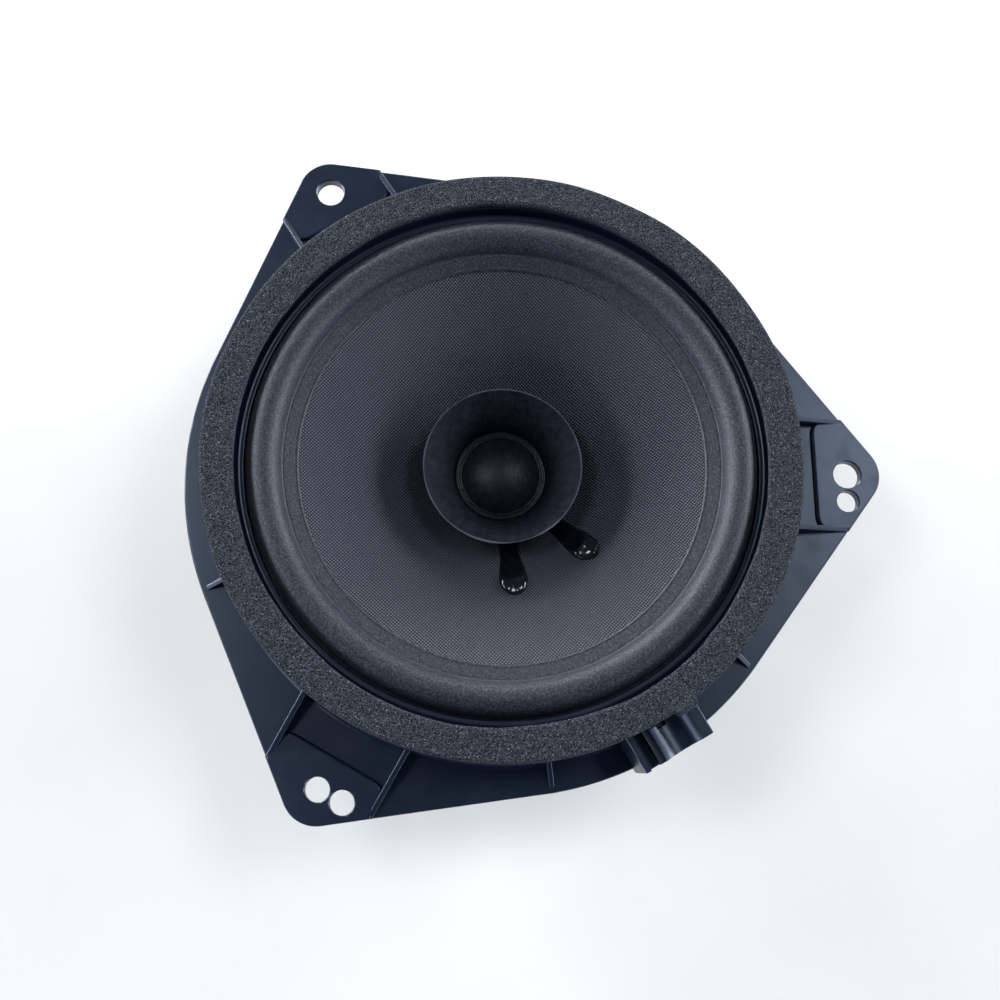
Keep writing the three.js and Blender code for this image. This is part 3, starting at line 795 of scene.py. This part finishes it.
def rivet_hole(angle):
    centre = polar(RIVET_CIRCLE_R, angle)
    heights = (SEAT_BACK - 1, SEAT_FRONT + 1)
    return loft("hole", [circle(RIVET_R + 0.15, 32, centre, z) for z in heights])


def build_bracket(look):
    bracket = combine(bowl(), [flange_plate("flange", FLANGE_FRONT, COLLAR_INNER_R + 1)], "UNION")
    column = flange_plate("column", COLLAR_TOP, 60, 0.3)
    walls = []
    for ear in EAR_ANGLES:
        for side in (-1, 1):
            rib = stiffener("rib", COLLAR_FOOT_R - 3, HOLE_CIRCLE_R + 1.5, side * EAR_RIB_OFFSET, ear)
            walls.append(combine(rib, [new_object("cutter", column.data.copy())], "INTERSECT"))
            walls.append(stiffener("gusset", COLLAR_FOOT_R - 3, COLLAR_FOOT_R + GUSSET_LENGTH, 0,
                                   ear + side * GUSSET_TURN))
        walls.append(ear_pad(ear))
    bpy.data.objects.remove(column)
    combine(bracket, [window(start) for start in LEG_ANGLES], "DIFFERENCE")
    housing, cuts = housing_parts()
    combine(bracket, [*walls, housing, *(leg_rib(angle) for angle in LEG_ANGLES)], "UNION")
    cuts += [screw_hole(angle, radius) for angle, radius in MOUNTING_HOLES]
    cuts += [rivet_hole(angle) for angle in RIVET_ANGLES]
    combine(bracket, cuts, "DIFFERENCE")
    bracket.name = "bracket"
    finished(bracket, look, "frame_body", ["basket_frame"])
    flat_faces_first(bracket)


# ---------- gasket ----------

def ease(edge0, edge1, value):
    t = min(max((value - edge0) / (edge1 - edge0), 0), 1)
    return t * t * (3 - 2 * t)


def foam_section(angle):
    """The strip's section at an angle: a rounded rectangle whose edges wander as hand-laid foam does."""
    around = polar(1.6, angle)
    inner = FOAM_INNER_R + 0.9 * noise(around) + 0.3 * noise(around * 5)
    outer = FOAM_R + 0.1 + 0.35 * noise(around * 2 + Vector((9, 0, 0)))
    tab = ease(FOAM_TAB[0] - 0.8, FOAM_TAB[0], angle) * (1 - ease(FOAM_TAB[1], FOAM_TAB[1] + 0.5, angle))
    outer += FOAM_TAB_WIDTH * tab
    z_low = FOAM_BACK
    z_high = FOAM_FRONT - 0.15 + 0.2 * noise(around * 3 + Vector((0, 9, 0)))
    corners = [(inner + 0.2, z_low), (outer - 0.2, z_low), (outer, (z_low + z_high) / 2),
               (outer - 0.15, z_high - 0.2), (outer - 0.7, z_high), (inner + 0.6, z_high),
               (inner, z_high - 0.3)]
    counts = (8, 4, 4, 3, 30, 3, 8)
    section = []
    for i, count in enumerate(counts):
        a = Vector(corners[i])
        b = Vector(corners[(i + 1) % len(corners)])
        section += [tuple(a.lerp(b, k / count)) for k in range(count)]
    return section


def foam_cells(place, normal):
    """Small open pits and a lumpy skin, fading out on the side walls and at the outer edge."""
    distance = voronoi(place / FOAM_PIT)[0][0]
    pit = -FOAM_PIT_DEPTH * (1 - ease(0.1, 0.4, distance))
    lump = 0.06 * noise(place / 0.5) + 0.1 * noise(place / 3)
    inwards = FOAM_R - place.xy.length
    return normal * (pit + lump) * ease(0.1, 0.95, abs(normal.z)) * ease(0.2, 1.4, inwards)


def build_foam(look):
    steps = 1300
    start = FOAM_JOINT_ANGLE + FOAM_JOINT_TURN / 2
    loops = []
    for i in range(steps + 1):
        angle = start + (360 - FOAM_JOINT_TURN) * i / steps
        loops.append([polar(r, angle, z) for r, z in foam_section(angle % 360)])
    piece = displace(loft("foam_ring", loops), foam_cells)
    finished(piece, look, "frame_body", ["foam_gasket"], 180)


# ---------- surround ----------

def spread_from(piece):
    """The piece spans the bracket and the cone; this bakes its placement into its mesh."""
    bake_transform(piece)


def surround_curve():
    """Centreline of the surround: glue band on the cone, tall half roll, outer flange."""
    wall = 0.6
    lift = GAP + wall / 2
    steps = 34
    radii = [BAND_INNER_R + (ROLL_INNER_R - 0.1 - BAND_INNER_R) * i / steps for i in range(steps + 1)]
    curve = [(r, cone_front(r) + lift) for r in radii]
    middle = (ROLL_INNER_R + ROLL_OUTER_R) / 2
    radius = (ROLL_OUTER_R - ROLL_INNER_R) / 2
    foot_z = CONE_TOP + lift
    flange_z = SURROUND_LEDGE + lift
    roll_steps = 36
    for i in range(1, roll_steps):
        turn = math.pi * (1 - i / roll_steps)
        foot = foot_z + (flange_z - foot_z) * i / roll_steps
        curve.append((middle + radius * math.cos(turn), foot + ROLL_RISE * math.sin(turn)))
    curve += [(ROLL_OUTER_R + 0.05, flange_z), (SURROUND_FLANGE_R - 0.3, flange_z)]
    return curve, wall


def build_surround(look):
    curve, wall = surround_curve()
    piece = lathe("surround_roll", shell(curve, wall), 256)

    def uneven(place, normal):
        r = place.xy.length
        lips = (0.16 * math.exp(-((r - BAND_INNER_R - 0.2) / 0.25) ** 2)
                + 0.2 * math.exp(-((r - ROLL_INNER_R + 0.25) / 0.18) ** 2)
                - 0.1 * math.exp(-((r - ROLL_INNER_R + 0.65) / 0.15) ** 2))
        return normal * (lips * max(normal.z, 0) + 0.04 * noise(place / 9))

    displace(piece, uneven)
    finished(piece, look, None, ["surround"], 60)
    spread_from(piece)


# ---------- cone, whizzer, dust cap, glue ----------

def build_cone(look):
    steps = 70
    radii = [CONE_NECK_R + (CONE_R - 0.3 - CONE_NECK_R) * i / steps for i in range(steps + 1)]
    curve = [(r, cone_front(r) - CONE_WALL / 2) for r in radii]
    piece = lathe("woven_cone", shell(curve, CONE_WALL), 256)
    displace(piece, lambda place, normal: normal * 0.07 * noise(place / 8))
    finished(piece, look, "cone_body", ["cone"], 60)


def whizzer_curve():
    foot = Vector((WHIZZER_FOOT_R, GLUE_RING_Z))
    pull = Vector((WHIZZER_FOOT_R + 2.2, WHIZZER_RIM_Z - 5))
    rim = Vector((WHIZZER_RIM_R, WHIZZER_RIM_Z))
    rise = (GLUE_RING_Z - WHIZZER_BACK) / 6
    neck = [(WHIZZER_FOOT_R + 0.22, WHIZZER_BACK + 0.25 + rise * i) for i in range(6)]
    flare = []
    for i in range(1, 33):
        t = i / 32
        p = foot * (1 - t) ** 2 + pull * 2 * t * (1 - t) + rim * t * t
        flare.append((p.x + 0.22 - 0.38 * t, p.y))
    return neck + flare


def build_whizzer(look):
    piece = lathe("whizzer", shell(whizzer_curve(), 0.42, 6), 224)

    def uneven(place, normal):
        height = ease(GLUE_RING_Z, WHIZZER_RIM_Z, place.z)
        wave = noise(Vector((place.x, place.y, 0)) / 11)
        return normal * (0.12 * height * wave + 0.02 * noise(place / 1.5))

    displace(piece, uneven)
    finished(piece, look, "cone_body", ["whizzer_cone"], 60)


def build_dust_cap(look):
    sphere_r = (DUST_CAP_R ** 2 + DUST_CAP_RISE ** 2) / (2 * DUST_CAP_RISE)
    centre_z = GLUE_RING_Z + DUST_CAP_RISE - sphere_r
    wall = 0.4
    edge = math.asin((DUST_CAP_R - 0.15) / sphere_r)
    middle_r = sphere_r - wall / 2
    arcs = [[(radius * math.sin(edge * i / 26), centre_z + radius * math.cos(edge * i / 26))
             for i in range(27)] for radius in (middle_r + wall / 2, middle_r - wall / 2)]
    piece = lathe("dust_dome", arcs[0] + arcs[1][::-1], 160)
    displace(piece, lambda place, normal: normal * 0.03 * noise(place / 3))
    finished(piece, look, "cone_body", ["dust_cap"], 60)


def build_glue_ring(look):
    """A hand-laid bead with two crests, whose width and height wander."""
    section = rounded([(-1.15, -0.8, 0.2), (-1.15, 0.1, 0.2), (-0.75, 0.75, 0.5), (0.0, 0.05, 0.5),
                       (0.6, 0.75, 0.5), (1.05, 0.1, 0.2), (1.05, -0.8, 0.2)], 5)
    loops = []
    for i in range(360):
        around = polar(3.2, i)
        fat = 0.95 + 0.1 * noise(around) + 0.06 * noise(around * 5)
        middle = GLUE_RING_R + 0.08 * noise(around * 1.5 + Vector((5, 0, 0)))
        loops.append([polar(middle + r, i, GLUE_RING_Z + fat * z) for r, z in section])
    piece = displace(loft("neck_bead", loops, ring=True), lambda place, normal:
                     normal * 0.07 * noise(place / 0.8))
    finished(piece, look, "cone_body", ["neck_glue_ring"], 180)


def glue_half_width(s):
    """Half the width of the glue's body at a distance from the axis: a strip that swells to a drop."""
    return 2.75 + 1.2 * ease(23, 31, s)


def glue_ends(s):
    """How far a point is into the round start or the round nose, from 0 to 1."""
    nose = max((s - GLUE_CREST) / (GLUE_END - GLUE_CREST), 0)
    tail = max((GLUE_START + 1.2 - s) / 1.2, 0)
    return min(max(nose, tail), 1)


def glue_height(s, u):
    """Height of the glue above the cone, u being -1 to 1 across its body: a low strip, then a steep
    rounded nose with the lead's ridge along it."""
    crest = 0.7 + 1.35 * ease(26.5, 31, s)
    ridge = 0.22 * math.exp(-(u / 0.16) ** 2) * ease(27, 31, s)
    return (crest + ridge) * math.sqrt(max(1 - u * u - glue_ends(s) ** 2, 0))


def build_lead_glue(look, index, angle):
    rows, columns = 84, 30
    top, bottom = [], []
    for i in range(rows + 1):
        s = GLUE_START + (GLUE_END - GLUE_START) * (1 - math.cos(math.pi * i / rows)) / 2
        for j in range(columns + 1):
            u = math.sin(math.pi / 2 * (2 * j / columns - 1)) * math.sqrt(max(1 - glue_ends(s) ** 2, 0))
            place = polar(1, angle) * s + polar(1, angle + 90) * u * glue_half_width(s)
            base = cone_front(place.length)
            wobble = 0.12 * noise(place / 1.8 + Vector((index * 7, 0, 0)))
            top.append(Vector((place.x, place.y, base + glue_height(s, u) * (1 + wobble))))
            bottom.append(Vector((place.x, place.y, base - 0.15)))
    count = len(top)
    faces = []
    for i in range(rows):
        for j in range(columns):
            a = i * (columns + 1) + j
            quad = (a, a + 1, a + columns + 2, a + columns + 1)
            faces += [quad, tuple(count + k for k in reversed(quad))]
    for i in range(rows):
        for j in (0, columns):
            a = i * (columns + 1) + j
            b = a + columns + 1
            faces.append((a, b, count + b, count + a))
    piece = mesh_object(f"lead_drop_{index}", top + bottom, faces)
    finished(piece, look, "cone_body", [f"lead_glue_{index}"], 70)


# ---------- spider, coil and magnet system ----------

def build_spider(look):
    neck, outer = CONE_NECK_R, SPIDER_LEDGE_R - 0.5
    middle = SPIDER_LEDGE + GAP + 0.3
    steps = 120
    curve = [(neck + 0.25, middle + 1.9), (neck + 0.3, middle + 1.1), (neck + 0.6, middle + 0.4),
             (neck + 1.2, middle + 0.1)]
    for i in range(1, steps + 1):
        t = i / steps
        r = neck + 2 + (outer - neck - 2) * t
        fade = ease(0, 0.08, t) * (1 - ease(0.94, 1, t))
        curve.append((r, middle + 0.75 * fade * math.sin(math.tau * 5 * t)))
    curve.append((high("spider").x - 0.3, middle))
    piece = lathe("spider_disc", shell(curve, 0.5, 3), 160)
    finished(piece, look, None, ["spider"], 60)
    spread_from(piece)


def build_coil(film, copper):
    outer = FORMER_OUTER_R
    former = tube("former_tube", "voice_coil_former", FORMER_INNER_R, outer, (0.08,) * 4, 2, 128)
    finished(former, film, "cone_body", ["voice_coil_former"])
    start, end = low("voice_coil_winding").z, high("voice_coil_winding").z
    pitch = (end - start) / COIL_TURNS
    outline = [(outer + 0.05, start), (outer + 0.3, start)]
    for i in range(COIL_TURNS):
        for k in range(1, 6):
            bulge = math.sin(math.pi * k / 6)
            outline.append((outer + 0.3 + 0.24 * bulge, start + pitch * (i + k / 6)))
    outline += [(outer + 0.3, end), (outer + 0.05, end)]
    winding = lathe("winding_turns", outline, 96)
    finished(winding, copper, "cone_body", ["voice_coil_winding"], 60)


def build_magnet_system(steel, ferrite):
    plate = tube("front_plate", "top_plate", PLATE_BORE_R, high("top_plate").x,
                 (0.3, 0.5, 0.8, 0.3), 3, 192)
    finished(plate, steel, "frame_body", ["top_plate"])
    magnet = tube("magnet_ring", "ring_magnet", MAGNET_BORE_R, high("ring_magnet").x,
                  (0.6, 1.0, 1.0, 0.6), 4, 192)

    def chipped(place, normal):
        chip = 0.25 * (1 - ease(0.1, 0.3, voronoi(place / 7)[0][0])) * abs(noise(place / 3))
        return normal * (0.05 * noise(place / 4) - chip)

    displace(magnet, chipped)
    finished(magnet, ferrite, "frame_body", ["ring_magnet"])
    base_r, base = high("magnet_yoke").x, low("ring_magnet").z - GAP
    pole_top = high("magnet_yoke").z
    yoke = lathe("back_yoke", rounded([
        (0, 0), (16, 0, 0.6), (16.8, 0.7, 0.6), (18.2, 0.7, 0.6), (19, 0, 0.6), (base_r - 1.4, 0, 0.8),
        (base_r, 1.4, 0.8), (base_r, base, 0.6), (POLE_R, base, 0.8), (POLE_R, pole_top, 0.7),
        (0, pole_top)]), 192)
    finished(yoke, steel, "frame_body", ["magnet_yoke"])


def build_rivets(look):
    head_low = SEAT_FRONT + GAP
    for i, angle in enumerate(RIVET_ANGLES, 1):
        node = f"plate_rivet_{i}"
        outline = rounded([
            (0, low(node).z), (RIVET_R, low(node).z, 0.2), (RIVET_R, head_low, 0.1),
            (2.6, head_low, 0.15), (2.5, head_low + 0.7, 0.3), (1.6, high(node).z, 0.5),
            (0.9, high(node).z, 0.2),
            (0.6, high(node).z - 0.35, 0.2), (0, high(node).z - 0.35)], 3)
        piece = lathe(f"rivet_{i}", outline, 40)
        piece.data.transform(Matrix.Translation(polar(RIVET_CIRCLE_R, angle)))
        finished(piece, look, "frame_body", [node])


# ---------- terminals and leads ----------

def build_blade(look, index, side):
    middle, half = side * BLADE_OFFSET, BLADE_WIDTH / 2
    tip = BLADE_TAIL + BLADE_LENGTH
    outline = [(BLADE_TAIL, middle - half), (tip - 1.4, middle - half), (tip, middle - half + 0.8),
               (tip, middle + half - 0.8), (tip - 1.4, middle + half), (BLADE_TAIL, middle + half)]
    blade = prism(f"blade_{index}", outline, BLADE_LOW, BLADE_LOW + BLADE_WALL, CONNECTOR_ANGLE)
    bevelled(blade, 0.15)
    eye = at_connector(tip - 4, middle, 0)
    hole = loft("eye", [circle(0.6, 24, eye, z) for z in (BLADE_LOW - 1, BLADE_LOW + 2)])
    combine(blade, [hole], "DIFFERENCE")
    finished(blade, look, "frame_body", [f"terminal_blade_{index}"])


def build_solder(look, index, side):
    node = f"solder_joint_{index}"
    place = at_connector(BLADE_TAIL + 2, side * BLADE_OFFSET, low(node).z)
    outline = [(0, 0)] + [(1.3 * math.cos(t), 1.17 * math.sin(t) ** 1.4)
                          for t in (math.pi / 2 * k / 12 for k in range(12))] + [(0, 1.17)]
    piece = lathe(f"solder_{index}", outline, 48)
    shift = Vector((index, 0, 0))
    displace(piece, lambda p, n: Vector((n.x, n.y, 0)) * 0.14 * noise(p / 0.9 + shift))
    piece.data.transform(Matrix.Translation(place))
    finished(piece, look, "frame_body", [node], 60)


def lead_path(angle, side, samples=150):
    """The lead's route from under the cone to its terminal, as evenly spaced points."""
    cone_back = cone_front(LEAD_EXIT_R) - CONE_WALL
    exit_point = polar(LEAD_EXIT_R, angle, cone_back - LEAD_R - GAP)
    below = polar(LEAD_EXIT_R + 5, angle, cone_back - 3.5)
    end = at_connector(BLADE_TAIL - LEAD_R - GAP, side * BLADE_OFFSET, BLADE_LOW + LEAD_R)
    approach = at_connector(BLADE_TAIL - 8, side * BLADE_OFFSET, BLADE_LOW - 1.5)
    sag = below.lerp(approach, 0.5)
    sag.z = cone_back - 4.5
    knots = [exit_point, below, sag, approach, end]
    knots = [2 * knots[0] - knots[1]] + knots + [2 * knots[-1] - knots[-2]]
    path = []
    for i in range(samples + 1):
        t = min(i / samples * 4, 3.9999)
        k = int(t)
        u = t - k
        a, b, c, d = knots[k:k + 4]
        path.append(0.5 * ((2 * b) + (c - a) * u + (2 * a - 5 * b + 4 * c - d) * u * u
                           + (3 * b - a - 3 * c + d) * u ** 3))
    return path


def build_lead(look, index, angle, side):
    """Tinsel lead: four strands laid round each other."""
    path = lead_path(angle, side)
    strands, strand_r, lay, pitch = 4, 0.27, 0.3, 2.6
    sides = 7
    travelled = 0.0
    rows = []
    for i, place in enumerate(path):
        ahead = (path[min(i + 1, len(path) - 1)] - path[max(i - 1, 0)]).normalized()
        travelled += (place - path[i - 1]).length if i else 0
        across = ahead.cross(Vector((0, 0, 1))).normalized()
        rows.append((place, across, across.cross(ahead), travelled))
    points, faces = [], []
    for strand in range(strands):
        loops = []
        for place, across, up, distance in rows:
            turn = math.tau * (distance / pitch + strand / strands)
            centre = place + (across * math.cos(turn) + up * math.sin(turn)) * lay
            loops.append([centre + (across * math.cos(t) + up * math.sin(t)) * strand_r
                          for t in (math.tau * k / sides for k in range(sides))])
        strand_points, strand_faces = lofted(loops)
        faces += [tuple(len(points) + k for k in face) for face in strand_faces]
        points += strand_points
    piece = mesh_object(f"lead_{index}", points, faces)
    finished(piece, look, None, [f"tinsel_lead_{index}"], 60)
    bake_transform(piece)


# ---------- stage, light and camera ----------

def build_stage():
    """A round pale card, in metres."""
    radius, thickness = 1.25, 0.002
    floor = loft("floor", [circle(radius, 96, z=z) for z in (-thickness, 0)])
    look = Look("floor_card", Roughness=0.7, Specular_IOR_Level=0.2)
    card = look.ramp(look.noise(40, 3), [(0.3, (0.66, 0.65, 0.64)), (0.7, (0.68, 0.67, 0.66))])
    floor.data.materials.append(look.made(card))


def window_light(name, azimuth, elevation, size, power, colour, distance=1.4):
    """A rectangle of light that faces the speaker, placed by its direction."""
    lamp = bpy.data.lights.new(name, "AREA")
    lamp.shape = "RECTANGLE"
    lamp.size, lamp.size_y = size
    lamp.energy = power
    lamp.color = colour
    light = new_object(name, lamp)
    rise = math.radians(elevation)
    place = polar(distance * math.cos(rise), azimuth, distance * math.sin(rise))
    light.location = place
    light.rotation_euler = (-place).to_track_quat("-Z", "Y").to_euler()
    light.visible_camera = False


def build_lights():
    daylight = (1.0, 0.98, 0.95)
    sky = (0.93, 0.97, 1.0)
    lamp = (0.95, 0.98, 1.0)
    shade = (0.8, 0.9, 1.0)
    window_light("window", 120, 9, (0.4, 0.16), 22, daylight)
    window_light("far_window", 80, 11, (0.9, 0.18), 10, daylight)
    window_light("left_panel", 162, 12, (1.1, 0.3), 38, sky)
    window_light("right_panel", 16, 15, (1.2, 0.4), 36, sky)
    window_light("left_lamp", 160, 60, (0.4, 0.35), 4.6, lamp, 1.3)
    window_light("right_lamp", 26, 60, (0.4, 0.35), 4.2, lamp, 1.3)
    window_light("front_left", 218, 12, (0.6, 0.4), 8, shade)
    window_light("front_right", 320, 12, (0.6, 0.4), 7, shade)
    world = bpy.data.worlds.new("room")
    world.use_nodes = True
    tree = world.node_tree
    fill = tree.nodes["Background"]
    fill.inputs["Color"].default_value = (0.5, 0.7, 1.0, 1)
    fill.inputs["Strength"].default_value = 0.13
    wall = tree.nodes.new("ShaderNodeBackground")
    wall.inputs["Color"].default_value = (1, 1, 1, 1)
    path = tree.nodes.new("ShaderNodeLightPath")
    chosen = tree.nodes.new("ShaderNodeMixShader")
    tree.links.new(path.outputs["Is Camera Ray"], chosen.inputs[0])
    tree.links.new(fill.outputs[0], chosen.inputs[1])
    tree.links.new(wall.outputs[0], chosen.inputs[2])
    tree.links.new(chosen.outputs[0], tree.nodes["World Output"].inputs["Surface"])
    bpy.context.scene.world = world


def build_camera():
    camera = bpy.data.cameras.new("camera")
    camera.sensor_width = 36
    camera.lens = CAMERA_LENS
    camera.clip_start = 0.01
    holder = new_object("camera", camera)
    holder.rotation_mode = "ZYX"
    holder.rotation_euler = (math.radians(CAMERA_TILT), math.radians(CAMERA_TURN), 0)
    holder.location = CAMERA_PLACE
    bpy.context.scene.camera = holder


# ---------- everything ----------

def build_speaker():
    steel = metal_look("plated_steel", (0.5, 0.51, 0.53), 0.32)
    drop_glue = glue_look("drop_glue", 0.11, 0.08, 0.6)
    bead_glue = glue_look("bead_glue", 0.32, 0.3, 0)
    copper = metal_look("copper_wire", (0.62, 0.26, 0.12), 0.3, False)
    tinned = metal_look("tinned_brass", (0.66, 0.65, 0.6), 0.28, False, 0.08)
    solder = metal_look("solder", (0.62, 0.62, 0.62), 0.22, False, 0.05)
    tinsel = metal_look("tinsel_wire", (0.6, 0.34, 0.17), 0.35, False, 0.2)
    build_bracket(plastic_look())
    build_foam(foam_look())
    build_surround(surround_look())
    build_cone(woven_look())
    build_whizzer(paper_look("whizzer_paper", 0.008, 0.55, 0.05, WHIZZER_RIM_Z + 0.02))
    build_dust_cap(paper_look("dust_cap_paper", 0.006, 0.34, 0.25))
    build_glue_ring(bead_glue)
    build_spider(spider_look())
    build_coil(former_look(), copper)
    build_magnet_system(steel, ferrite_look())
    build_rivets(metal_look("rivet_steel", (0.6, 0.6, 0.6), 0.3, False, 0.1))
    for index, (angle, side) in enumerate(LEAD_EXITS, 1):
        build_lead_glue(drop_glue, index, angle)
        build_blade(tinned, index, side)
        build_solder(solder, index, side)
        build_lead(tinsel, index, angle, side)


build_speaker()
build_stage()
build_lights()
build_camera()
bpy.context.scene.view_settings.view_transform = "Standard"
